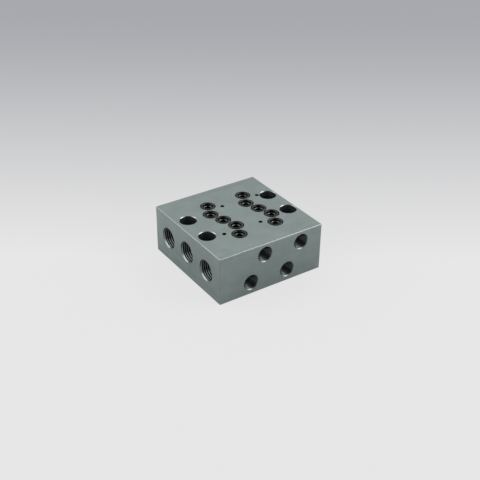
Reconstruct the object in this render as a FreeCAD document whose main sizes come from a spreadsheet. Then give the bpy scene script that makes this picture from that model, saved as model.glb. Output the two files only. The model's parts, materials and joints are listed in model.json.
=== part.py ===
# Valve manifold base: a ground steel block that carries two five-port valves side by side.
# Three main ports open in the left face and run under both valves as galleries.
# Four work ports open in the front face, two for each valve, one pair drilled below the
# galleries and one pair above them. Every drilling starts from a visible face and stops
# inside the block, so no plug is needed. An O-ring lies in each valve port's seat.
#
# Frame: millimetres, origin in the middle of the bottom face, +X from the main ports'
# face to the plain end, +Y from the work ports' face to the back, +Z up.
import FreeCAD, Part
import os
import Sketcher
from FreeCAD import Vector

# name, value in millimetres unless the text says otherwise, what it measures
SIZES = [
    ("block_length", 70.0, "block, left face to right face"),
    ("block_width", 70.0, "block, front face to back face"),
    ("block_height", 30.0, "block, bottom face to valve face"),
    ("edge_chamfer", 0.3, "chamfer on the block's outer edges"),
    ("drill_point", 118.0, "angle of the drill's point, in degrees"),
    ("chamfer_angle", 90.0, "full angle of the chamfer at a hole's mouth, in degrees"),
    ("station_count", 2, "number of valves, side by side"),
    ("station_pitch", 25.0, "from one valve to the next"),
    ("station_inset", 25.0, "left face to the middle of the first valve"),
    ("seat_diameter", 9.4, "O-ring seat round each valve port"),
    ("seat_web", 0.15, "metal left between neighbouring seats"),
    ("inner_shift", 2.9, "ports 2 and 4, sideways from the middle port"),
    ("outer_shift", 0.9, "ports 1 and 5, sideways from the middle port"),
    ("valve_bore", 4.6, "drilling below each valve port"),
    ("ring_section", 1.5, "thickness of an O-ring"),
    ("ring_clearance", 0.3, "O-ring to the wall of its seat"),
    ("ring_standout", 0.4, "height of an O-ring above the valve face"),
    ("ring_floor_gap", 0.02, "O-ring to the floor of its seat"),
    ("screw_core", 2.05, "tapping drill of the valve's screw holes"),
    ("screw_mouth", 2.5, "chamfer at the valve's screw holes"),
    ("screw_depth", 8.0, "full depth of the valve's screw holes"),
    ("screw_shift", 8.2, "screw hole, sideways from the middle port"),
    ("main_core", 11.8, "tapping drill of the main ports"),
    ("main_mouth", 13.4, "chamfer at the main ports"),
    ("main_depth", 14.5, "full depth of the main ports' tapping drill"),
    ("main_drop", 14.9, "valve face to the axes of the outer main ports"),
    ("middle_drop", 13.8, "valve face to the axis of the middle main port"),
    ("gallery_bore", 7.5, "drilling that carries a main port under the valves"),
    ("gallery_step", 2.4, "outer galleries, outwards from the outer valve ports"),
    ("gallery_end", 4.0, "galleries, past the middle of the last valve"),
    ("work_core", 8.8, "tapping drill of the work ports"),
    ("work_mouth", 9.9, "chamfer at the work ports"),
    ("work_depth", 9.5, "full depth of the work ports' tapping drill"),
    ("work_bore", 4.6, "drilling from a work port to its valve port"),
    ("work_end", 1.5, "work drillings, past the axis of the valve port"),
    ("upper_drop", 6.9, "valve face to the axes of the upper work ports"),
    ("upper_step", 2.4, "upper work ports, sideways from valve port 4"),
    ("lower_drop", 22.4, "valve face to the axes of the lower work ports"),
    ("lower_step", 1.1, "lower work ports, sideways from valve port 2"),
    ("port_overrun", 1.0, "ports 2 and 4, past the axis of the drilling they meet"),
    ("mount_hole", 5.5, "clearance hole of the mounting screws"),
    ("mount_counterbore", 10.0, "counterbore for the mounting screws' heads"),
    ("mount_head_depth", 6.4, "depth of that counterbore"),
    ("mount_mouth", 10.5, "chamfer at the counterbores"),
    ("mount_left", 7.5, "left face to the first pair of mounting holes"),
    ("mount_right", 6.0, "right face to the second pair of mounting holes"),
]

# A drilling that takes less than this off the block, in cubic millimetres, points the wrong way.
LEAST_CUT = 1.0

# Formulas that more than one feature uses, in the names of the sheet.
PORT_PITCH = "sqrt((Sizes.seat_diameter + Sizes.seat_web)^2 - Sizes.inner_shift^2)"
GALLERY_PITCH = "(2 * %s + Sizes.gallery_step)" % PORT_PITCH
FIRST_STATION = "(Sizes.station_inset - Sizes.block_length / 2)"
LAST_STATION = "(%s + (Sizes.station_count - 1) * Sizes.station_pitch)" % FIRST_STATION
SEAT_DEPTH = "(Sizes.ring_section - Sizes.ring_standout)"

# The five ports of a valve from the back to the front, sideways and along, from its middle.
VALVE_PORTS = [
    ("Sizes.outer_shift", "2 * " + PORT_PITCH),
    ("-Sizes.inner_shift", PORT_PITCH),
    ("0", "0"),
    ("Sizes.inner_shift", "-" + PORT_PITCH),
    ("-Sizes.outer_shift", "-2 * " + PORT_PITCH),
]
# How deep each of those ports is drilled, to the gallery or work drilling that it meets.
PORT_DEPTHS = [
    "Sizes.main_drop",
    "Sizes.lower_drop + Sizes.port_overrun",
    "Sizes.middle_drop",
    "Sizes.upper_drop + Sizes.port_overrun",
    "Sizes.main_drop",
]


def add_sizes(doc):
    """The sheet of driving dimensions: what each measures, its value and its name."""
    sheet = doc.addObject("Spreadsheet::Sheet", "Sizes")
    for row, (name, value, meaning) in enumerate(SIZES, start=1):
        sheet.set("A%d" % row, meaning)
        sheet.set("B%d" % row, str(value))
        sheet.setAlias("B%d" % row, name)
    doc.recompute()
    return sheet


def origin_feature(body, role):
    """One of the body's own origin planes or axes."""
    return next(item for item in body.Origin.OriginFeatures if item.Role == role)


def add_sketch(body, name, plane, **offset):
    """A sketch on one of the body's origin planes, moved by formulas along the plane's x, y, z."""
    sketch = body.newObject("Sketcher::SketchObject", name)
    sketch.AttachmentSupport = [(origin_feature(body, plane), "")]
    sketch.MapMode = "FlatFace"
    for axis, formula in offset.items():
        sketch.setExpression("AttachmentOffset.Base." + axis, formula)
    return sketch


def fix_value(sketch, constraint, formula):
    """Add a dimension to a sketch and bind it to a formula."""
    number = sketch.addConstraint(constraint)
    sketch.setExpression("Constraints[%d]" % number, formula)


def add_circle(sketch, x, y, diameter):
    """A circle whose centre is at two formulas in the sketch. A formula of 0 puts it on the axis."""
    circle = sketch.addGeometry(Part.Circle(Vector(1, 1, 0), Vector(0, 0, 1), 1), False)
    for kind, axis, formula in (("DistanceX", -2, x), ("DistanceY", -1, y)):
        if formula == "0":
            sketch.addConstraint(Sketcher.Constraint("PointOnObject", circle, 3, axis))
        else:
            fix_value(sketch, Sketcher.Constraint(kind, -1, 1, circle, 3, 1), formula)
    fix_value(sketch, Sketcher.Constraint("Diameter", circle, 2), diameter)


def add_centred_rectangle(sketch, width, height):
    """A rectangle round the sketch's origin."""
    corners = [Vector(-1, -1, 0), Vector(1, -1, 0), Vector(1, 1, 0), Vector(-1, 1, 0)]
    for start, end in zip(corners, corners[1:] + corners[:1]):
        sketch.addGeometry(Part.LineSegment(start, end), False)
    for line in range(4):
        sketch.addConstraint(Sketcher.Constraint("Coincident", line, 2, (line + 1) % 4, 1))
        kind = "Vertical" if line % 2 else "Horizontal"
        sketch.addConstraint(Sketcher.Constraint(kind, line))
    sketch.addConstraint(Sketcher.Constraint("Symmetric", 0, 1, 1, 2, -1, 1))
    fix_value(sketch, Sketcher.Constraint("DistanceX", 0, 1, 0, 2, 2), width)
    fix_value(sketch, Sketcher.Constraint("DistanceY", 1, 1, 1, 2, 2), height)


def drill(body, name, sketch, diameter, depth, mouth=None, towards_normal=False):
    """Drill every circle of a sketch, and stop if that takes nothing off the body.

    The hole has a pointed end. depth is None for a hole right through. mouth is a wider
    start: its kind, its diameter and, for a counterbore, its depth.
    """
    body.Document.recompute()
    before = body.Shape.Volume
    hole = body.newObject("PartDesign::Hole", name)
    hole.Profile = sketch
    hole.ThreadType = "None"
    hole.Reversed = towards_normal
    hole.setExpression("Diameter", diameter)
    if depth is None:
        hole.DepthType = "ThroughAll"
    else:
        hole.DepthType = "Dimension"
        hole.setExpression("Depth", depth)
        hole.DrillPoint = "Angled"
        hole.DrillForDepth = False
        hole.setExpression("DrillPointAngle", "Sizes.drill_point")
    if mouth is not None:
        hole.HoleCutType = mouth[0]
        hole.HoleCutCustomValues = True
        hole.setExpression("HoleCutDiameter", mouth[1])
        if mouth[0] == "Counterbore":
            hole.setExpression("HoleCutDepth", mouth[2])
        else:
            hole.setExpression("HoleCutCountersinkAngle", "Sizes.chamfer_angle")
    body.Document.recompute()
    if not body.Shape.Volume < before - LEAST_CUT:
        raise RuntimeError(name + " takes nothing off the block")
    return hole


def add_plate(body):
    """The block itself, ground all over, with its outer edges broken."""
    sketch = add_sketch(body, "BlockOutline", "XY_Plane")
    add_centred_rectangle(sketch, "Sizes.block_length", "Sizes.block_width")
    pad = body.newObject("PartDesign::Pad", "Block")
    pad.Profile = sketch
    pad.setExpression("Length", "Sizes.block_height")
    body.Document.recompute()
    chamfer = body.newObject("PartDesign::Chamfer", "EdgeBreak")
    edges = ["Edge%d" % (number + 1) for number in range(len(pad.Shape.Edges))]
    chamfer.Base = (pad, edges)
    chamfer.setExpression("Size", "Sizes.edge_chamfer")


def add_main_ports(body):
    """Three tapped ports in the left face, each with its gallery under the valves."""
    galleries = [
        ("Back", GALLERY_PITCH, "Sizes.main_drop"),
        ("Middle", "0", "Sizes.middle_drop"),
        ("Front", "-" + GALLERY_PITCH, "Sizes.main_drop"),
    ]
    reach = "%s + Sizes.gallery_end + Sizes.block_length / 2" % LAST_STATION
    for side, along, drop in galleries:
        height = "Sizes.block_height - " + drop
        place = {"z": "-Sizes.block_length / 2"}
        sketch = add_sketch(body, side + "GalleryCentre", "YZ_Plane", **place)
        add_circle(sketch, along, height, "Sizes.gallery_bore")
        drill(body, side + "Gallery", sketch, "Sizes.gallery_bore", reach, None, True)
        sketch = add_sketch(body, side + "MainPortCentre", "YZ_Plane", **place)
        add_circle(sketch, along, height, "Sizes.main_core")
        mouth = ("Countersink", "Sizes.main_mouth")
        drill(body, side + "MainPort", sketch, "Sizes.main_core", "Sizes.main_depth", mouth, True)


def repeat_for_stations(body, name, holes):
    """Repeat one valve's holes at every station."""
    pattern = body.newObject("PartDesign::LinearPattern", name)
    pattern.Originals = holes
    pattern.Direction = (origin_feature(body, "X_Axis"), [""])
    pattern.setExpression("Occurrences", "Sizes.station_count")
    pattern.setExpression("Length", "(Sizes.station_count - 1) * Sizes.station_pitch")
    body.Tip = pattern
    body.Document.recompute()


def add_work_ports(body):
    """Two tapped ports a valve in the front face: the lower to port 2, the upper to port 4."""
    pairs = [
        ("Lower", "-Sizes.inner_shift - Sizes.lower_step", "Sizes.lower_drop", PORT_PITCH),
        ("Upper", "Sizes.inner_shift + Sizes.upper_step", "Sizes.upper_drop", "-" + PORT_PITCH),
    ]
    holes = []
    for level, shift, drop, along in pairs:
        x = FIRST_STATION + " + " + shift
        height = "Sizes.block_height - " + drop
        reach = "Sizes.block_width / 2 + Sizes.work_end + " + along
        place = {"z": "Sizes.block_width / 2"}
        sketch = add_sketch(body, level + "DrillingCentre", "XZ_Plane", **place)
        add_circle(sketch, x, height, "Sizes.work_bore")
        holes.append(drill(body, level + "Drilling", sketch, "Sizes.work_bore", reach))
        sketch = add_sketch(body, level + "WorkPortCentre", "XZ_Plane", **place)
        add_circle(sketch, x, height, "Sizes.work_core")
        mouth = ("Countersink", "Sizes.work_mouth")
        port = drill(body, level + "WorkPort", sketch, "Sizes.work_core", "Sizes.work_depth", mouth)
        holes.append(port)
    repeat_for_stations(body, "WorkPortsOfAllStations", holes)


def add_valve_stations(body):
    """Five seated ports and two tapped screw holes in the top face for each valve."""
    place = {"x": FIRST_STATION, "z": "Sizes.block_height"}
    seat = ("Counterbore", "Sizes.seat_diameter", SEAT_DEPTH)
    holes = []
    for number, ((x, y), depth) in enumerate(zip(VALVE_PORTS, PORT_DEPTHS), start=1):
        name = "ValvePort%d" % number
        sketch = add_sketch(body, name + "Centre", "XY_Plane", **place)
        add_circle(sketch, x, y, "Sizes.valve_bore")
        holes.append(drill(body, name, sketch, "Sizes.valve_bore", depth, seat))
    sketch = add_sketch(body, "ScrewCentres", "XY_Plane", **place)
    half_way = "1.5 * " + PORT_PITCH
    add_circle(sketch, "Sizes.screw_shift", half_way, "Sizes.screw_core")
    add_circle(sketch, "-Sizes.screw_shift", "-" + half_way, "Sizes.screw_core")
    mouth = ("Countersink", "Sizes.screw_mouth")
    screws = drill(body, "ScrewHoles", sketch, "Sizes.screw_core", "Sizes.screw_depth", mouth)
    repeat_for_stations(body, "PortsOfAllStations", holes + [screws])


def add_mounting_holes(body):
    """Four counterbored holes right through, each midway between two galleries."""
    place = {"z": "Sizes.block_height"}
    columns = [
        "Sizes.mount_left - Sizes.block_length / 2",
        "Sizes.block_length / 2 - Sizes.mount_right",
    ]
    rows = [GALLERY_PITCH + " / 2", "-" + GALLERY_PITCH + " / 2"]
    through = add_sketch(body, "MountingHoleCentres", "XY_Plane", **place)
    heads = add_sketch(body, "CounterboreCentres", "XY_Plane", **place)
    for x in columns:
        for y in rows:
            add_circle(through, x, y, "Sizes.mount_hole")
            add_circle(heads, x, y, "Sizes.mount_counterbore")
    drill(body, "MountingHoles", through, "Sizes.mount_hole", None)
    counterbores = drill(
        body,
        "Counterbores",
        heads,
        "Sizes.mount_counterbore",
        "Sizes.mount_head_depth",
        ("Countersink", "Sizes.mount_mouth"),
    )
    counterbores.DrillPoint = "Flat"
    body.Document.recompute()


def make_block(doc):
    """The manifold block, from the sawn plate to the last hole."""
    body = doc.addObject("PartDesign::Body", "ManifoldBlock")
    body.Label = "manifold_block"
    add_plate(body)
    add_main_ports(body)
    add_work_ports(body)
    add_valve_stations(body)
    add_mounting_holes(body)
    return body


def make_o_ring(doc, station, port):
    """One O-ring, lying in the seat of a valve port."""
    ring = doc.addObject("Part::Torus", "ORing%d_%d" % (station + 1, port + 1))
    ring.Label = "o_ring_%s%d" % ("abcdefgh"[station], port + 1)
    x, y = VALVE_PORTS[port]
    across = "Sizes.seat_diameter / 2 - Sizes.ring_clearance - Sizes.ring_section / 2"
    height = "Sizes.block_height - %s + Sizes.ring_floor_gap + Sizes.ring_section / 2"
    ring.setExpression("Radius1", across)
    ring.setExpression("Radius2", "Sizes.ring_section / 2")
    ring.setExpression(
        "Placement.Base.x", "%s + %d * Sizes.station_pitch + %s" % (FIRST_STATION, station, x)
    )
    ring.setExpression("Placement.Base.y", y)
    ring.setExpression("Placement.Base.z", height % SEAT_DEPTH)
    return ring


def check_pieces(doc, pieces):
    """Stop if an object failed to build or a piece isn't one sound solid."""
    for item in doc.Objects:
        if "Invalid" in item.State or "Error" in item.State:
            raise RuntimeError("%s failed: %s" % (item.Name, item.State))
    for piece in pieces:
        shape = piece.Shape
        if shape.isNull() or not shape.isValid() or len(shape.Solids) != 1:
            raise RuntimeError(piece.Label + " is not one sound solid")


def main():
    doc = FreeCAD.newDocument("ValveManifoldBase")
    sheet = add_sizes(doc)
    pieces = [make_block(doc)]
    for station in range(int(sheet.station_count)):
        for port in range(len(VALVE_PORTS)):
            pieces.append(make_o_ring(doc, station, port))
    doc.recompute()
    check_pieces(doc, pieces)
    os.makedirs("parts", exist_ok=True)
    for piece in pieces:
        piece.Shape.exportStep("parts/%s.step" % piece.Label)
        print("%s: %.1f cubic millimetres" % (piece.Label, piece.Shape.Volume))


main()
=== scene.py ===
import json
import math

import bmesh
import bpy
from bpy.props import FloatProperty, FloatVectorProperty, IntProperty, PointerProperty
from mathutils import Matrix, Vector


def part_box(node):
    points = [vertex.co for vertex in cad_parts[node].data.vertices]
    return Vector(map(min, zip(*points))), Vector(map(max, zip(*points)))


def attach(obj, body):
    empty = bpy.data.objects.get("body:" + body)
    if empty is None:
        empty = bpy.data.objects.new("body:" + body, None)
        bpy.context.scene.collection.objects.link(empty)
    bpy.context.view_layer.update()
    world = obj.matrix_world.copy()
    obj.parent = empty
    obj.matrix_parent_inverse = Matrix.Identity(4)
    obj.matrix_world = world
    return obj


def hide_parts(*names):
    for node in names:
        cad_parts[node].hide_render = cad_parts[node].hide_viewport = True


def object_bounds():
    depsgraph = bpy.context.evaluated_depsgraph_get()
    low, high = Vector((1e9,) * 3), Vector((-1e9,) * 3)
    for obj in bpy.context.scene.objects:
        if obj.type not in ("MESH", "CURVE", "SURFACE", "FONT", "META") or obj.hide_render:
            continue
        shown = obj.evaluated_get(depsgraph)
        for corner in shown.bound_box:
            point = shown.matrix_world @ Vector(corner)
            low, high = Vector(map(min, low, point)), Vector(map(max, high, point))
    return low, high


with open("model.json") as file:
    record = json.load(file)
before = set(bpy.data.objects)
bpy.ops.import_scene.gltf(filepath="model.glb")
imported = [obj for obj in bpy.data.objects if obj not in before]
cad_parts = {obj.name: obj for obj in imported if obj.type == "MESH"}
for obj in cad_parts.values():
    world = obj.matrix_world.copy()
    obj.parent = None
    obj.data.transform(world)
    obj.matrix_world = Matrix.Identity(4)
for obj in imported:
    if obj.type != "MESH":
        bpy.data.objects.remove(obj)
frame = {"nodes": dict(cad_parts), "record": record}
CAD_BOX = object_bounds()

bl_info = {
    "name": "Valve Manifold Base",
    "version": (1, 0, 0),
    "blender": (4, 5, 0),
    "location": "3D View > Sidebar > Manifold",
    "description": "Cuts the threads of a ground steel manifold block and sets its finish",
    "category": "Object",
}

MM = 0.001
# Corners of the frame's triangles that lie closer than this are one corner.
MERGE_DISTANCE = 0.001 * MM
# Edges shorter than this are slivers that cutting the grooves leaves.
SLIVER_LENGTH = 0.0005 * MM
# How far a cutter starts inside the wall of its hole, so that the two cross cleanly.
CUT_OVERLAP = 0.15 * MM
# Sides of the cones that cut the chamfers under the O-rings.
CONE_STEPS = 64

PIPE_HALF_ANGLE = math.radians(27.5)
METRIC_HALF_ANGLE = math.radians(30)
# The flat at the root of a groove is the pitch divided by this.
PIPE_ROOT = 6
METRIC_ROOT = 8
# The slope at the edge of a pipe thread's crest, as a share of the pitch.
CREST_BEVEL = 0.187

# A point lies in a plane if it is no further off than this.
ON_PLANE = 0.01 * MM
# The middle of a cut face may lie this far from the surface that was cut.
ON_SURFACE = 0.03 * MM
# The flat faces of a hole's wall may lie this far inside its radius.
FACET_SAG = 0.09 * MM
# A face lies square to an axis if its normal's part along it is more than this.
SQUARE_TILT = 0.99
# A face leans by about 45 degrees to an axis if its normal's part along it is between these.
CHAMFER_TILTS = (0.6, 0.8)
# Edges are sharp where their faces meet at more than this, or have unlike surfaces.
SHARP_ANGLE = math.radians(28)
# Surfaces that go round a hole, and so shade smoothly.
ROUND_SURFACES = (
    "countersunk_rim",
    "highlight_rim",
    "shaded_bore_rim",
    "tapped_thread",
    "highlight_thread_edge",
    "shaded_fine_thread",
    "counterbore",
    "drilled_bore",
)

# Nearly all of a noise texture's values lie between these.
NOISE_LOW = 0.3
NOISE_HIGH = 0.7
# Sizes of the clouds in the phosphate, and of the grain and the bloom of the rubber.
CLOUD_SIZE = 9 * MM
GRAIN_SIZE = 0.4 * MM
BLOOM_SIZE = 3 * MM

# The sky's brightness at some heights above the horizon, in degrees.
SKY_LEVELS = ((0, 0.62), (20, 0.62), (28, 0.8), (38, 1.95), (48, 2.0), (60, 0.5), (70, 0.2))
# The height of the black flag above the camera, in degrees.
FLAG_HEIGHT = 45
# How far from its middle the flag blocks all that it can, and how far it reaches, in degrees.
FLAG_CORE = 18
FLAG_REACH = 44
LAMP_DISTANCE = 1.0
FLOOR_REACH = 6.0
# The width of the camera's sensor is in millimetres, like the focal length.
SENSOR_WIDTH = 36.0


def linear(colour):
    """An sRGB hex colour as linear red, green, blue and an alpha of 1."""
    channels = [int(colour[place:place + 2], 16) / 255 for place in (1, 3, 5)]
    scaled = [c / 12.92 if c <= 0.04045 else ((c + 0.055) / 1.055) ** 2.4 for c in channels]
    return (*scaled, 1.0)


def length(name, description, default):
    """A length that the user can set."""
    return FloatProperty(
        name=name,
        description=description,
        default=default,
        min=0.0,
        precision=6,
        subtype="DISTANCE",
        unit="LENGTH",
    )


def colour(name, description, default):
    """A colour that the user can set. Its default is an sRGB hex value."""
    return FloatVectorProperty(
        name=name,
        description=description,
        default=linear(default),
        size=4,
        min=0.0,
        max=1.0,
        subtype="COLOR",
    )


def share(name, description, default):
    """A number from 0 to 1 that the user can set."""
    return FloatProperty(
        name=name,
        description=description,
        default=default,
        min=0.0,
        max=1.0,
        subtype="FACTOR",
    )


class ThreadSettings(bpy.types.PropertyGroup):
    """Sizes of the threads: pipe threads in the ports, metric ones in the screw holes"""

    main_major: length("Main Port Diameter", "Outer diameter of the G1/4 thread", 13.157 * MM)
    main_pitch: length("Main Port Pitch", "Pitch of the G1/4 thread", 1.337 * MM)
    work_major: length("Work Port Diameter", "Outer diameter of the G1/8 thread", 9.728 * MM)
    work_pitch: length("Work Port Pitch", "Pitch of the G1/8 thread", 0.907 * MM)
    screw_major: length("Screw Hole Diameter", "Outer diameter of the M2.5 thread", 2.5 * MM)
    screw_pitch: length("Screw Hole Pitch", "Pitch of the M2.5 thread", 0.45 * MM)
    screw_shift: length("Screw Shift", "Screw hole, sideways from the middle port", 8.2 * MM)
    screw_chamfer: length("Screw Chamfer", "Depth of the screw holes' chamfer", 0.225 * MM)
    screw_depth: length("Screw Depth", "Depth of the screw holes", 8.0 * MM)
    pipe_steps: IntProperty(
        name="Port Steps",
        description="Steps in one turn of a port's groove",
        default=48,
        min=12,
        max=96,
    )
    screw_steps: IntProperty(
        name="Screw Steps",
        description="Steps in one turn of a screw hole's groove",
        default=24,
        min=12,
        max=96,
    )


class SteelSettings(bpy.types.PropertyGroup):
    """Colours and marks of the steel's surfaces"""

    ground: colour("Ground Face", "Satin grey of the ground and phosphated faces", "#8a9694")
    edge: colour("Broken Edge", "Filed edges, a little yellower than the faces", "#7f8783")
    rim: colour("Countersunk Rim", "Steel of the ports' countersunk mouths", "#7b8381")
    # The top face's chamfers are painted lighter than the ports' rims: a painted highlight.
    highlight_top_rim: colour("Top Rim", "Chamfers of the holes in the top face, painted light as a highlight", "#a6acaa")
    # The threads' flanks are painted dark: painted shade of the hole's depth.
    thread: colour("Thread", "Cut flanks of the threads, painted dark as shade", "#191c1c")
    # The crests' bevels are real; their lighter colour is a painted highlight, so that the lamps'
    # glints show.
    highlight_thread_edge: colour("Thread Edge", "Edges of the threads' crests, painted light as a highlight", "#5c6361")
    # The screw holes are painted near black: painted shade in the small holes.
    shaded_fine_thread: colour("Fine Thread", "Threads and chamfers of the screw holes, painted near black as shade", "#0c0e0f")
    # The drilled walls are painted dark: painted shade inside the drillings.
    bore: colour("Bore", "Drilled walls, painted dark as shade", "#343d40")
    counterbore: colour("Counterbore", "Cut walls of the counterbores", "#818e92")
    seat: colour("Seat", "Faced floors of the O-ring seats", "#565c5a")
    # These chamfers are painted dark: painted shade under the O-rings.
    shaded_bore_rim: colour("Bore Rim", "Chamfers of the drillings under the O-rings, painted dark as shade", "#5c6260")
    roughness: share("Roughness", "Roughness of the ground faces", 0.42)
    line_width: length("Line Width", "Width of a grinding line", 0.45 * MM)
    line_length: length("Line Length", "Length of a grinding line", 25.0 * MM)
    counterbore_width: length("Counterbore Width", "Diameter of the counterbores", 10.0 * MM)
    edge_break: length("Edge Break", "Width of the broken edges", 0.3 * MM)
    rim_depth: length("Rim Depth", "Depth that no countersunk mouth goes past", 1.4 * MM)


class SeatSettings(bpy.types.PropertyGroup):
    """Sizes of the valve ports' seats"""

    depth: length("Depth", "Depth of the O-ring seats", 1.1 * MM)
    bore: length("Bore", "Diameter of the drilling below a seat", 4.6 * MM)
    chamfer: length("Chamfer", "Chamfer of that drilling's mouth in the seat's floor", 0.25 * MM)


class RubberSettings(bpy.types.PropertyGroup):
    """Shape and finish of the O-rings"""

    black: colour("Rubber", "Black nitrile rubber", "#0f110b")
    roughness: share("Roughness", "Roughness of the oiled rubber", 0.25)
    flash: length("Flash", "Height of the parting line that the mould leaves", 0.03 * MM)
    section_steps: IntProperty(
        name="Section Steps",
        description="Corners in the round section of an O-ring",
        default=24,
        min=8,
        max=48,
    )
    ring_steps: IntProperty(
        name="Ring Steps",
        description="Steps round an O-ring",
        default=72,
        min=24,
        max=144,
    )


class StudioSettings(bpy.types.PropertyGroup):
    """Floor, light and camera"""

    near_colour: colour("Near Floor", "Floor round the block", "#e7e7e7")
    # The floor behind the block is painted darker: painted shade of the light's falloff.
    shaded_far_colour: colour("Far Floor", "Floor behind the block, painted darker as shade", "#a9aaaf")
    fade_end: length("Fade End", "How far behind the block the floor is darkest", 0.5)
    floor_glow: share("Floor Glow", "Share of the floor's colour that no shadow reaches", 0.88)
    mirrored_glow: share("Mirrored Glow", "That share in the block's reflections", 0.1)
    sky: share("Sky", "Strength of the light from round about", 0.8)
    flag_share: share("Flag Share", "Share of that light that the black flag lets through", 0.12)
    azimuth: FloatProperty(
        name="Azimuth",
        description="Direction of the camera; 0 looks along +Y",
        default=math.radians(-34.318),
        subtype="ANGLE",
        unit="ROTATION",
    )
    elevation: FloatProperty(
        name="Elevation",
        description="Angle of the camera above the floor",
        default=math.radians(31.745),
        subtype="ANGLE",
        unit="ROTATION",
    )
    roll: FloatProperty(
        name="Roll",
        description="Turn of the camera about its own axis",
        default=math.radians(0.638),
        subtype="ANGLE",
        unit="ROTATION",
    )
    distance: length("Distance", "Camera to the middle of the block", 522.03 * MM)
    aim_right: FloatProperty(
        name="Aim Right",
        description="How far the camera aims to the right of the block's middle",
        default=1.551 * MM,
        precision=6,
        subtype="DISTANCE",
        unit="LENGTH",
    )
    aim_up: FloatProperty(
        name="Aim Up",
        description="How far the camera aims above the block's middle",
        default=-1.877 * MM,
        precision=6,
        subtype="DISTANCE",
        unit="LENGTH",
    )
    lens: FloatProperty(
        name="Lens",
        description="Focal length on a 36 mm sensor, in millimetres",
        default=65.951,
        min=1.0,
    )


class ManifoldSettings(bpy.types.PropertyGroup):
    """Every setting of the manifold base"""

    threads: PointerProperty(type=ThreadSettings)
    steel: PointerProperty(type=SteelSettings)
    seats: PointerProperty(type=SeatSettings)
    rubber: PointerProperty(type=RubberSettings)
    studio: PointerProperty(type=StudioSettings)


def add_node(tree, kind, inputs, **settings):
    """Add a node with its settings. An input holds a constant, or is fed by (node, output).

    Sockets go by their identifiers, which are unique where names repeat.
    """
    node = tree.nodes.new(kind)
    for name, value in settings.items():
        setattr(node, name, value)
    sockets = {item.identifier: item for item in node.inputs}
    for name, source in inputs.items():
        if isinstance(source, tuple) and isinstance(source[0], bpy.types.Node):
            feeder, output = source
            outputs = {item.identifier: item for item in feeder.outputs}
            tree.links.new(outputs[output], sockets[name])
        else:
            sockets[name].default_value = source
    return node


def new_material(name):
    """An empty material with its output, and its node tree."""
    material = bpy.data.materials.new(name)
    material.use_nodes = True
    material.node_tree.nodes.clear()
    return material, material.node_tree


def shade(tint, factor):
    """A colour made darker or lighter by a factor."""
    return [min(channel * factor, 1.0) for channel in tint[:3]] + [1.0]


def ground_steel(name, steel, lay):
    """Carbon steel, surface-ground and phosphated: satin grey-green with straight fine lines.

    lay is the axis that the grinding lines follow. The real lines are a few hundredths of a
    millimetre wide. Here they are as wide as the render needs to show them.
    """
    material, tree = new_material(name)
    fine = [1 / steel.line_width] * 3
    fine[lay] = 1 / steel.line_length
    place = add_node(tree, "ShaderNodeTexCoord", {})
    along = add_node(
        tree,
        "ShaderNodeMapping",
        {"Vector": (place, "Object"), "Scale": fine},
        vector_type="POINT",
    )
    lines = add_node(
        tree,
        "ShaderNodeTexNoise",
        {"Vector": (along, "Vector"), "Scale": 1.0, "Detail": 3.0, "Roughness": 0.6},
    )
    bands = add_node(
        tree,
        "ShaderNodeTexNoise",
        {"Vector": (along, "Vector"), "Scale": 0.22, "Detail": 2.0, "Roughness": 0.5},
    )
    clouds = add_node(
        tree,
        "ShaderNodeTexNoise",
        {"Vector": (place, "Object"), "Scale": 1 / CLOUD_SIZE, "Detail": 3.0, "Roughness": 0.55},
    )
    streaks = add_node(
        tree,
        "ShaderNodeMix",
        {"Factor_Float": 0.6, "A_Float": (lines, "Fac"), "B_Float": (bands, "Fac")},
    )
    tone = add_node(
        tree,
        "ShaderNodeMix",
        {"Factor_Float": 0.5, "A_Float": (streaks, "Result_Float"), "B_Float": (clouds, "Fac")},
    )
    level = add_node(
        tree,
        "ShaderNodeMapRange",
        {"Value": (tone, "Result_Float"), "From Min": NOISE_LOW, "From Max": NOISE_HIGH},
    )
    base = add_node(
        tree,
        "ShaderNodeMix",
        {
            "Factor_Float": (level, "Result"),
            "A_Color": shade(steel.ground, 0.88),
            "B_Color": shade(steel.ground, 1.12),
        },
        data_type="RGBA",
    )
    rough = add_node(
        tree,
        "ShaderNodeMapRange",
        {
            "Value": (streaks, "Result_Float"),
            "From Min": NOISE_LOW,
            "From Max": NOISE_HIGH,
            "To Min": steel.roughness - 0.04,
            "To Max": steel.roughness + 0.04,
        },
    )
    bump = add_node(
        tree,
        "ShaderNodeBump",
        {"Height": (lines, "Fac"), "Strength": 0.25, "Distance": 0.02 * MM},
    )
    shader = add_node(
        tree,
        "ShaderNodeBsdfPrincipled",
        {
            "Base Color": (base, "Result_Color"),
            "Metallic": 1.0,
            "Roughness": (rough, "Result"),
            "Normal": (bump, "Normal"),
        },
    )
    add_node(tree, "ShaderNodeOutputMaterial", {"Surface": (shader, "BSDF")})
    return material


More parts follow.
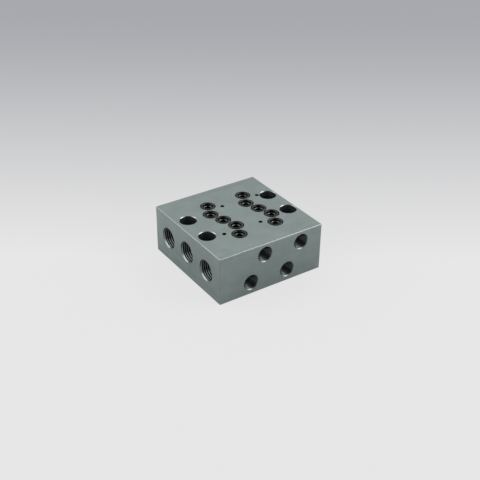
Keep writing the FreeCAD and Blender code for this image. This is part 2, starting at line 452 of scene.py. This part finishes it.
def machined_steel(name, tint, roughness, mark, depth):
    """Carbon steel as a cutting tool leaves it, unground: grain of one size, in steps of mark.

    tint is its colour, mark the spacing of the tool's marks and depth their height.
    """
    material, tree = new_material(name)
    place = add_node(tree, "ShaderNodeTexCoord", {})
    marks = add_node(
        tree,
        "ShaderNodeTexNoise",
        {"Vector": (place, "Object"), "Scale": 1 / mark, "Detail": 3.0, "Roughness": 0.6},
    )
    level = add_node(
        tree,
        "ShaderNodeMapRange",
        {"Value": (marks, "Fac"), "From Min": NOISE_LOW, "From Max": NOISE_HIGH},
    )
    base = add_node(
        tree,
        "ShaderNodeMix",
        {
            "Factor_Float": (level, "Result"),
            "A_Color": shade(tint, 0.8),
            "B_Color": shade(tint, 1.15),
        },
        data_type="RGBA",
    )
    rough = add_node(
        tree,
        "ShaderNodeMapRange",
        {
            "Value": (marks, "Fac"),
            "From Min": NOISE_LOW,
            "From Max": NOISE_HIGH,
            "To Min": roughness - 0.03,
            "To Max": roughness + 0.05,
        },
    )
    bump = add_node(
        tree,
        "ShaderNodeBump",
        {"Height": (marks, "Fac"), "Strength": 0.3, "Distance": depth},
    )
    shader = add_node(
        tree,
        "ShaderNodeBsdfPrincipled",
        {
            "Base Color": (base, "Result_Color"),
            "Metallic": 1.0,
            "Roughness": (rough, "Result"),
            "Normal": (bump, "Normal"),
        },
    )
    add_node(tree, "ShaderNodeOutputMaterial", {"Surface": (shader, "BSDF")})
    return material


def nitrile_rubber(rubber):
    """Moulded nitrile rubber, lightly oiled: near black and brownish, with a soft gloss."""
    material, tree = new_material("moulded_nitrile_rubber")
    place = add_node(tree, "ShaderNodeTexCoord", {})
    grain = add_node(
        tree,
        "ShaderNodeTexNoise",
        {"Vector": (place, "Object"), "Scale": 1 / GRAIN_SIZE, "Detail": 3.0, "Roughness": 0.6},
    )
    bloom = add_node(
        tree,
        "ShaderNodeTexNoise",
        {"Vector": (place, "Object"), "Scale": 1 / BLOOM_SIZE, "Detail": 2.0, "Roughness": 0.5},
    )
    base = add_node(
        tree,
        "ShaderNodeMix",
        {
            "Factor_Float": (bloom, "Fac"),
            "A_Color": shade(rubber.black, 0.7),
            "B_Color": shade(rubber.black, 1.5),
        },
        data_type="RGBA",
    )
    rough = add_node(
        tree,
        "ShaderNodeMapRange",
        {
            "Value": (grain, "Fac"),
            "To Min": rubber.roughness - 0.08,
            "To Max": rubber.roughness + 0.08,
        },
    )
    bump = add_node(
        tree,
        "ShaderNodeBump",
        {"Height": (grain, "Fac"), "Strength": 0.2, "Distance": 0.02 * MM},
    )
    shader = add_node(
        tree,
        "ShaderNodeBsdfPrincipled",
        {
            "Base Color": (base, "Result_Color"),
            "Roughness": (rough, "Result"),
            "IOR": 1.52,
            "Specular IOR Level": 0.3,
            "Normal": (bump, "Normal"),
        },
    )
    add_node(tree, "ShaderNodeOutputMaterial", {"Surface": (shader, "BSDF")})
    return material


def new_piece(name, shape, node):
    """Turn a bmesh into a piece that stands for a node of the frame and rides on its body."""
    mesh = bpy.data.meshes.new(name)
    shape.to_mesh(mesh)
    shape.free()
    piece = bpy.data.objects.new(name, mesh)
    bpy.context.scene.collection.objects.link(piece)
    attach(piece, "root")
    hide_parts(node)
    return piece


def check_closed(shape, name):
    """Stop unless every edge of a bmesh has two faces."""
    if any(len(edge.link_faces) != 2 for edge in shape.edges):
        raise RuntimeError(name + " isn't closed")


def is_chamfer(tilt):
    """Whether a face leans by about 45 degrees. tilt is its normal's part along an axis."""
    least, most = CHAMFER_TILTS
    return least < abs(tilt) < most


class Thread:
    """A thread's profile, the chamfer before it and how deep it is cut.

    core and major are its inner and outer radius. bevel is the width of the slope between a flank
    and the crest, which the tap leaves rounded. lead is how far above the chamfer's inner end the
    groove starts. That is in the open, so that the groove fades out in the chamfer.
    """

    def __init__(self, core, major, pitch, half_angle, root_flat, bevel, chamfer, lead, depth, steps):
        self.core = core
        self.major = major
        self.pitch = pitch
        self.half_angle = half_angle
        self.root_flat = root_flat
        self.bevel = bevel
        self.chamfer = chamfer
        self.lead = lead
        self.depth = depth
        self.steps = steps

    def groove_width(self, radius):
        """The width of the groove at a radius."""
        return self.root_flat + 2 * (self.major - radius) * math.tan(self.half_angle)

    def groove_coil(self):
        """The mesh of the groove: a closed right-handed coil that goes into the hole along Z."""
        shape = bmesh.new()
        turns = self.depth / self.pitch
        shoulder = self.core + self.bevel
        mouth = self.groove_width(shoulder) / 2 + self.bevel
        profile = [
            (self.core - CUT_OVERLAP, mouth),
            (self.core, mouth),
            (shoulder, self.groove_width(shoulder) / 2),
            (self.major, self.groove_width(self.major) / 2),
        ]
        profile += [(radius, -half) for radius, half in reversed(profile)]
        corners = [shape.verts.new((0, radius, -self.lead - half)) for radius, half in profile]
        section = shape.faces.new(corners)
        bmesh.ops.spin(
            shape,
            geom=[section],
            cent=(0, 0, 0),
            axis=(0, 0, 1),
            dvec=(0, 0, self.pitch / self.steps),
            angle=math.tau * turns,
            steps=round(turns * self.steps),
            use_merge=False,
            use_duplicate=False,
        )
        # Where the thread has no bevel, two corners of the section lie in one place.
        bmesh.ops.remove_doubles(shape, verts=shape.verts, dist=MERGE_DISTANCE)
        bmesh.ops.recalc_face_normals(shape, faces=shape.faces)
        mesh = bpy.data.meshes.new("groove_coil")
        shape.to_mesh(mesh)
        shape.free()
        return mesh


class TappedHole:
    """A hole with a thread: where its wall starts, the way out of it, and the thread."""

    def __init__(self, start, outward, thread):
        self.start = Vector(start)
        self.outward = Vector(outward)
        self.thread = thread

    def place(self):
        """The matrix that takes the thread's coil to the hole."""
        turn = (-self.outward).to_track_quat("Z", "X")
        return Matrix.Translation(self.start) @ turn.to_matrix().to_4x4()

    def reach(self, point):
        """How deep a point lies in the hole, from its wall's start, and how far from its axis."""
        offset = point - self.start
        depth = -offset.dot(self.outward)
        return depth, (offset + depth * self.outward).length

    def surface_at(self, point, normal):
        """What the countersink or the tap made at a point, or None away from the hole's wall."""
        depth, radius = self.reach(point)
        thread = self.thread
        within = -thread.chamfer < depth < thread.depth
        if not within or not thread.core - FACET_SAG < radius < thread.major + thread.chamfer:
            return None
        # The screw holes' threads and chamfers all get the near-black painted shade.
        if thread.bevel == 0:
            return "shaded_fine_thread"
        # Faces inside the hole that lean by 45 degrees are the crests' bevels, which get the painted
        # highlight.
        if is_chamfer(normal.dot(self.outward)):
            return "countersunk_rim" if depth < 0 else "highlight_thread_edge"
        return "tapped_thread"


def mounts_named(start):
    """The record's mounts whose names start like this."""
    return [mount for mount in frame["record"]["mounts"] if mount["name"].startswith(start)]


def port_holes(kind, major, pitch, steps):
    """The ports of one kind, with the pipe thread that they share."""
    mounts = mounts_named(kind)
    first = mounts[0]
    from_corner = Vector(first["pos_m"]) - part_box("manifold_block")[0]
    thread = Thread(
        core=first["dims"]["r_mm"] * MM,
        major=major / 2,
        pitch=pitch,
        half_angle=PIPE_HALF_ANGLE,
        root_flat=pitch / PIPE_ROOT,
        bevel=pitch * CREST_BEVEL,
        chamfer=abs(from_corner.dot(Vector(first["axis"]))),
        lead=pitch,
        depth=first["dims"]["length_mm"] * MM,
        steps=steps,
    )
    return [TappedHole(mount["pos_m"], mount["axis"], thread) for mount in mounts]


def screw_holes(threads):
    """The valves' screw holes, two for each valve, with the metric thread that they share."""
    mounts = mounts_named("valve_screws")
    sizes = mounts[0]["dims"]
    thread = Thread(
        core=sizes["hole_r_mm"] * MM,
        major=threads.screw_major / 2,
        pitch=threads.screw_pitch,
        half_angle=METRIC_HALF_ANGLE,
        root_flat=threads.screw_pitch / METRIC_ROOT,
        bevel=0.0,
        chamfer=threads.screw_chamfer,
        lead=threads.screw_chamfer / 2,
        depth=threads.screw_depth - threads.screw_chamfer,
        steps=threads.screw_steps,
    )
    across = threads.screw_shift
    along = math.sqrt((sizes["pcd_mm"] * MM / 2) ** 2 - across ** 2)
    holes = []
    for mount in mounts:
        for side in (1, -1):
            shift = Vector((side * across, side * along, -threads.screw_chamfer))
            holes.append(TappedHole(Vector(mount["pos_m"]) + shift, mount["axis"], thread))
    return holes


def tapped_holes(threads):
    """Every tapped hole of the block, placed by the record's mounts."""
    main_ports = port_holes("main_port", threads.main_major, threads.main_pitch, threads.pipe_steps)
    work_ports = port_holes("work_port", threads.work_major, threads.work_pitch, threads.pipe_steps)
    return screw_holes(threads) + main_ports + work_ports


def ring_nodes():
    """The names of the frame's O-rings, in order."""
    return sorted(node for node in frame["nodes"] if node.startswith("o_ring"))


def add_valve_chamfers(shape, seats):
    """Add a cone for the mouth of every drilling under an O-ring."""
    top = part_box("manifold_block")[1].z
    for node in ring_nodes():
        low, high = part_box(node)
        middle = (low + high) / 2
        middle.z = top - seats.depth - seats.chamfer / 2
        bmesh.ops.create_cone(
            shape,
            cap_ends=True,
            segments=CONE_STEPS,
            radius1=seats.bore / 2 - CUT_OVERLAP,
            radius2=seats.bore / 2 + seats.chamfer + CUT_OVERLAP,
            depth=seats.chamfer + 2 * CUT_OVERLAP,
            matrix=Matrix.Translation(middle),
        )


def cut_grooves(block, holes, seats):
    """Take the groove of every thread and the chamfers under the O-rings off the block's mesh."""
    grooves = bmesh.new()
    add_valve_chamfers(grooves, seats)
    coils = {}
    for hole in holes:
        if hole.thread not in coils:
            coils[hole.thread] = hole.thread.groove_coil()
        coil = coils[hole.thread].copy()
        coil.transform(hole.place())
        grooves.from_mesh(coil)
        bpy.data.meshes.remove(coil)
    mesh = bpy.data.meshes.new("grooves")
    grooves.to_mesh(mesh)
    grooves.free()
    cutter = bpy.data.objects.new("grooves", mesh)
    bpy.context.scene.collection.objects.link(cutter)
    modifier = block.modifiers.new("threads", "BOOLEAN")
    modifier.operation = "DIFFERENCE"
    modifier.solver = "MANIFOLD"
    modifier.object = cutter
    evaluated = block.evaluated_get(bpy.context.evaluated_depsgraph_get())
    threaded = bpy.data.meshes.new_from_object(evaluated)
    block.modifiers.remove(modifier)
    block.data = threaded
    bpy.data.objects.remove(cutter)


def surface_of(face, holes, steel, seats, low, high):
    """What made a face of the block: the name of its material."""
    middle = face.calc_center_median()
    depths = [min(middle[axis] - low[axis], high[axis] - middle[axis]) for axis in range(3)]
    nearest = depths.index(min(depths))
    tilt = abs(face.normal[nearest])
    if depths[nearest] < ON_PLANE and tilt > SQUARE_TILT:
        return "ground_crosswise" if nearest == 0 else "ground_lengthwise"
    if sorted(depths)[1] < steel.edge_break + ON_SURFACE:
        return "broken_edge"
    for hole in holes:
        surface = hole.surface_at(middle, face.normal)
        if surface is not None:
            return surface
    # Chamfers near the top face get a painted highlight; deeper ones, under the O-rings, get painted
    # shade.
    if depths[nearest] < steel.rim_depth and is_chamfer(tilt):
        return "highlight_rim" if depths[nearest] < seats.depth else "shaded_bore_rim"
    if abs(high.z - middle.z - seats.depth) < ON_SURFACE and abs(face.normal.z) > SQUARE_TILT:
        return "faced_seat"
    reach = steel.counterbore_width / 2 + ON_SURFACE
    for opening in frame["record"]["physics"]["openings"]:
        floor, ceiling = [Vector(corner) for corner in opening["box_m"]]
        offset = middle - (floor + ceiling) / 2
        if offset.xy.length < reach and middle.z > floor.z:
            return "counterbore"
    return "drilled_bore"


def block_materials(steel):
    """The material of each kind of surface on the block."""
    materials = {
        "ground_lengthwise": ground_steel("ground_steel_lengthwise", steel, 0),
        "ground_crosswise": ground_steel("ground_steel_crosswise", steel, 1),
    }
    # The material's name, colour and roughness, and the spacing and height of the tool's marks in
    # millimetres.
    machined = {
        "broken_edge": ("filed_steel_edge", steel.edge, 0.32, 0.6, 0.01),
        "countersunk_rim": ("countersunk_steel", steel.rim, 0.28, 0.3, 0.004),
        # The top chamfers are painted light as a highlight.
        "highlight_rim": ("chamfered_steel_painted_highlight", steel.highlight_top_rim, 0.2, 0.3, 0.004),
        # The chamfers under the O-rings are painted dark as shade.
        "shaded_bore_rim": ("bore_rim_steel", steel.shaded_bore_rim, 0.25, 0.3, 0.004),
        # The tapped flanks are painted dark as shade.
        "tapped_thread": ("tapped_steel_painted_shade", steel.thread, 0.22, 0.3, 0.01),
        # The thread edges are painted light as a highlight.
        "highlight_thread_edge": ("thread_edge_steel", steel.highlight_thread_edge, 0.28, 0.3, 0.004),
        "shaded_fine_thread": ("shaded_fine_thread", steel.shaded_fine_thread, 0.4, 0.3, 0.01),
        "counterbore": ("bored_steel", steel.counterbore, 0.4, 0.5, 0.01),
        "faced_seat": ("faced_steel", steel.seat, 0.4, 0.2, 0.004),
        # The drilled walls are painted dark as shade.
        "drilled_bore": ("drilled_steel_painted_shade", steel.bore, 0.5, 0.5, 0.01),
    }
    for surface, (name, tint, roughness, mark, depth) in machined.items():
        materials[surface] = machined_steel(name, tint, roughness, mark * MM, depth * MM)
    return materials


def finish_block(block, holes, settings):
    """Clear the threaded block's slivers, and give each of its faces its material and shading."""
    low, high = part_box("manifold_block")
    materials = block_materials(settings.steel)
    slots = list(materials)
    block.data.materials.clear()
    for material in materials.values():
        block.data.materials.append(material)
    shape = bmesh.new()
    shape.from_mesh(block.data)
    bmesh.ops.dissolve_degenerate(shape, edges=shape.edges, dist=SLIVER_LENGTH)
    check_closed(shape, "the threaded block")
    shape.normal_update()
    for face in shape.faces:
        surface = surface_of(face, holes, settings.steel, settings.seats, low, high)
        face.material_index = slots.index(surface)
        face.smooth = surface in ROUND_SURFACES
    for edge in shape.edges:
        one, other = edge.link_faces
        same = one.material_index == other.material_index
        edge.smooth = same and edge.calc_face_angle() < SHARP_ANGLE
    shape.to_mesh(block.data)
    shape.free()


class MANIFOLD_OT_block(bpy.types.Operator):
    """Cut the threads into a copy of the block and give each kind of surface its finish"""

    bl_idname = "manifold.block"
    bl_label = "Tapped Block"
    bl_options = {"REGISTER", "UNDO"}

    def execute(self, context):
        settings = context.scene.manifold
        shape = bmesh.new()
        shape.from_mesh(frame["nodes"]["manifold_block"].data)
        bmesh.ops.remove_doubles(shape, verts=shape.verts, dist=MERGE_DISTANCE)
        check_closed(shape, "the copy of the block")
        block = new_piece("tapped_block", shape, "manifold_block")
        # The normals stored with the frame's mesh don't fit the faces that the grooves cut.
        block.data.attributes.remove(block.data.attributes["custom_normal"])
        holes = tapped_holes(settings.threads)
        cut_grooves(block, holes, settings.seats)
        finish_block(block, holes, settings)
        return {"FINISHED"}


def o_ring_shape(node, rubber):
    """The bmesh of an O-ring in a node's place, with a ridge inside and outside at half height."""
    low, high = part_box(node)
    radius = (high.z - low.z) / 2
    across = (high.x - low.x) / 2 - radius
    shape = bmesh.new()
    bmesh.ops.create_circle(
        shape,
        segments=rubber.section_steps,
        radius=radius - rubber.flash,
        matrix=Matrix.Translation((across, 0, 0)) @ Matrix.Rotation(math.pi / 2, 4, "X"),
    )
    parting = [vert for vert in shape.verts if abs(vert.co.z) < ON_PLANE]
    for vert in parting:
        vert.co.x += math.copysign(rubber.flash, vert.co.x - across)
    bmesh.ops.spin(
        shape,
        geom=shape.verts[:] + shape.edges[:],
        cent=(0, 0, 0),
        axis=(0, 0, 1),
        angle=math.tau,
        steps=rubber.ring_steps,
        use_merge=True,
        use_duplicate=False,
    )
    bmesh.ops.recalc_face_normals(shape, faces=shape.faces)
    bmesh.ops.translate(shape, verts=shape.verts, vec=(low + high) / 2)
    check_closed(shape, node)
    for face in shape.faces:
        face.smooth = True
    return shape


class MANIFOLD_OT_o_rings(bpy.types.Operator):
    """Mould an O-ring with its parting line in every seat"""

    bl_idname = "manifold.o_rings"
    bl_label = "O-rings"
    bl_options = {"REGISTER", "UNDO"}

    def execute(self, context):
        rubber = context.scene.manifold.rubber
        material = nitrile_rubber(rubber)
        for node in ring_nodes():
            shape = o_ring_shape(node, rubber)
            ring = new_piece("moulded_" + node, shape, node)
            ring.data.materials.append(material)
        return {"FINISHED"}


def add_softbox(name, towards, wide, high, brightness):
    """A lamp that shines on the block from a direction. A brightness of 1 is as bright as white."""
    lamp = bpy.data.lights.new(name, "AREA")
    lamp.shape = "RECTANGLE"
    lamp.size = wide
    lamp.size_y = high
    lamp.energy = brightness * math.pi * wide * high
    holder = bpy.data.objects.new(name, lamp)
    direction = Vector(towards).normalized()
    holder.location = Vector((0, 0, CAD_BOX[1].z / 2)) + direction * LAMP_DISTANCE
    holder.rotation_euler = direction.to_track_quat("Z", "Y").to_euler()
    bpy.context.scene.collection.objects.link(holder)


def direction_to(azimuth, elevation):
    """The direction from the block to something at this azimuth and height. 0, 0 is along -Y."""
    across = math.cos(elevation)
    return Vector((across * math.sin(azimuth), -across * math.cos(azimuth), math.sin(elevation)))


def add_camera(studio):
    """Place the camera, turned about its own axis by the roll."""
    back = direction_to(studio.azimuth, studio.elevation)
    level = Vector((math.cos(studio.azimuth), math.sin(studio.azimuth), 0))
    turn = Matrix.Rotation(studio.roll, 3, back)
    right = turn @ level
    up = turn @ back.cross(level)
    lens = bpy.data.cameras.new("camera")
    lens.sensor_width = SENSOR_WIDTH
    lens.lens = studio.lens
    lens.clip_start = 10 * MM
    camera = bpy.data.objects.new("camera", lens)
    middle = Vector((0, 0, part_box("manifold_block")[1].z / 2))
    place = middle + back * studio.distance + right * studio.aim_right + up * studio.aim_up
    axes = Matrix((right, up, back)).transposed()
    camera.matrix_world = Matrix.Translation(place) @ axes.to_4x4()
    bpy.context.scene.collection.objects.link(camera)
    bpy.context.scene.camera = camera


def floor_paint(studio):
    """Seamless backdrop paper: pale round the block, with painted shade that darkens it behind the
    block, and a soft shadow.

    Part of its colour is its own light for the rays that see it, so that the shadow is faint.
    """
    material, tree = new_material("backdrop_paper")
    place = add_node(tree, "ShaderNodeTexCoord", {})
    # Painted shade: the paper's colour darkens with distance behind the block.
    behind = Vector((-math.sin(studio.azimuth), math.cos(studio.azimuth), 0))
    depth = add_node(
        tree,
        "ShaderNodeVectorMath",
        {"Vector": (place, "Object"), "Vector_001": behind},
        operation="DOT_PRODUCT",
    )
    fade = add_node(
        tree,
        "ShaderNodeMapRange",
        {"Value": (depth, "Value"), "From Max": studio.fade_end, "To Max": math.pi / 2},
    )
    eased = add_node(tree, "ShaderNodeMath", {"Value": (fade, "Result")}, operation="SINE")
    tint = add_node(
        tree,
        "ShaderNodeMix",
        {
            "Factor_Float": (eased, "Value"),
            "A_Color": list(studio.near_colour),
            "B_Color": list(studio.shaded_far_colour),
        },
        data_type="RGBA",
    )
    ray = add_node(tree, "ShaderNodeLightPath", {})
    mirrored = add_node(
        tree,
        "ShaderNodeMath",
        {"Value": (ray, "Is Glossy Ray"), "Value_001": studio.mirrored_glow},
        operation="MULTIPLY",
    )
    seen = add_node(
        tree,
        "ShaderNodeMath",
        {"Value": (ray, "Is Camera Ray"), "Value_001": (ray, "Is Transmission Ray")},
        operation="MAXIMUM",
    )
    glow = add_node(
        tree,
        "ShaderNodeMath",
        {
            "Value": (seen, "Value"),
            "Value_001": studio.floor_glow,
            "Value_002": (mirrored, "Value"),
        },
        operation="MULTIPLY_ADD",
    )
    paper = add_node(tree, "ShaderNodeBsdfDiffuse", {"Color": (tint, "Result_Color")})
    light = add_node(tree, "ShaderNodeEmission", {"Color": (tint, "Result_Color")})
    mixed = add_node(
        tree,
        "ShaderNodeMixShader",
        {"Fac": (glow, "Value"), "Shader": (paper, "BSDF"), "Shader_001": (light, "Emission")},
    )
    add_node(tree, "ShaderNodeOutputMaterial", {"Surface": (mixed, "Shader")})
    return material


def add_floor(studio):
    """Lay the floor under the block."""
    shape = bmesh.new()
    bmesh.ops.create_grid(shape, x_segments=1, y_segments=1, size=FLOOR_REACH)
    mesh = bpy.data.meshes.new("floor")
    shape.to_mesh(mesh)
    shape.free()
    mesh.materials.append(floor_paint(studio))
    floor = bpy.data.objects.new("floor", mesh)
    bpy.context.scene.collection.objects.link(floor)


def set_sky(studio):
    """Light that is brightest halfway up, and dark overhead and at a black flag above the camera.

    The camera sees paper instead.
    """
    world = bpy.data.worlds.new("studio")
    world.use_nodes = True
    tree = world.node_tree
    tree.nodes.clear()
    ray = add_node(tree, "ShaderNodeLightPath", {})
    direction = add_node(tree, "ShaderNodeTexCoord", {})
    parts = add_node(tree, "ShaderNodeSeparateXYZ", {"Vector": (direction, "Generated")})
    level = add_node(tree, "ShaderNodeValToRGB", {"Fac": (parts, "Z")})
    stops = level.color_ramp.elements
    stops.remove(stops[0])
    for degrees, brightness in SKY_LEVELS:
        stop = stops.new(math.sin(math.radians(degrees)))
        stop.color = (brightness, brightness, brightness, 1.0)
    stops.remove(stops[-1])
    flag = direction_to(studio.azimuth, math.radians(FLAG_HEIGHT))
    nearness = add_node(
        tree,
        "ShaderNodeVectorMath",
        {"Vector": (direction, "Generated"), "Vector_001": flag},
        operation="DOT_PRODUCT",
    )
    passed = add_node(
        tree,
        "ShaderNodeMapRange",
        {
            "Value": (nearness, "Value"),
            "From Min": math.cos(math.radians(FLAG_REACH)),
            "From Max": math.cos(math.radians(FLAG_CORE)),
            "To Min": 1.0,
            "To Max": studio.flag_share,
        },
    )
    strength = add_node(
        tree,
        "ShaderNodeMath",
        {"Value": (passed, "Result"), "Value_001": studio.sky},
        operation="MULTIPLY",
    )
    even = add_node(
        tree,
        "ShaderNodeBackground",
        {"Color": (level, "Color"), "Strength": (strength, "Value")},
    )
    behind = add_node(tree, "ShaderNodeBackground", {"Color": list(studio.near_colour)})
    mixed = add_node(
        tree,
        "ShaderNodeMixShader",
        {
            "Fac": (ray, "Is Camera Ray"),
            "Shader": (even, "Background"),
            "Shader_001": (behind, "Background"),
        },
    )
    add_node(tree, "ShaderNodeOutputWorld", {"Surface": (mixed, "Shader")})
    bpy.context.scene.world = world


class MANIFOLD_OT_studio(bpy.types.Operator):
    """Lay the floor, set the lights and place the camera"""

    bl_idname = "manifold.studio"
    bl_label = "Studio"
    bl_options = {"REGISTER", "UNDO"}

    def execute(self, context):
        studio = context.scene.manifold.studio
        add_floor(studio)
        set_sky(studio)
        add_softbox("softbox_right", (0.74, -0.42, 0.53), wide=0.8, high=0.6, brightness=2.6)
        add_softbox("softbox_left", (-0.81, 0.29, 0.51), wide=1.6, high=0.33, brightness=2.2)
        add_softbox("strip_left", (-0.87, 0.5, 0.09), wide=1.0, high=0.16, brightness=5.0)
        add_camera(studio)
        context.scene.view_settings.view_transform = "Standard"
        return {"FINISHED"}


class MANIFOLD_PT_sidebar(bpy.types.Panel):
    """Every setting, and a button for each piece and the studio"""

    bl_idname = "MANIFOLD_PT_sidebar"
    bl_label = "Valve Manifold Base"
    bl_space_type = "VIEW_3D"
    bl_region_type = "UI"
    bl_category = "Manifold"

    def draw(self, context):
        settings = context.scene.manifold
        for operator in OPERATORS:
            self.layout.operator(operator.bl_idname)
        for part in ManifoldSettings.__annotations__:
            group = getattr(settings, part)
            box = self.layout.box()
            for name in type(group).__annotations__:
                box.prop(group, name)


GROUPS = (
    ThreadSettings,
    SteelSettings,
    SeatSettings,
    RubberSettings,
    StudioSettings,
    ManifoldSettings,
)
OPERATORS = (MANIFOLD_OT_block, MANIFOLD_OT_o_rings, MANIFOLD_OT_studio)


def register():
    """Add the settings, operators and panel to Blender."""
    for item in (*GROUPS, *OPERATORS, MANIFOLD_PT_sidebar):
        bpy.utils.register_class(item)
    bpy.types.Scene.manifold = PointerProperty(type=ManifoldSettings)


def unregister():
    """Take them away again."""
    del bpy.types.Scene.manifold
    for item in reversed((*GROUPS, *OPERATORS, MANIFOLD_PT_sidebar)):
        bpy.utils.unregister_class(item)


def main():
    """Make every piece and the studio."""
    register()
    bpy.ops.manifold.block()
    bpy.ops.manifold.o_rings()
    bpy.ops.manifold.studio()


if __name__ == "__main__":
    main()
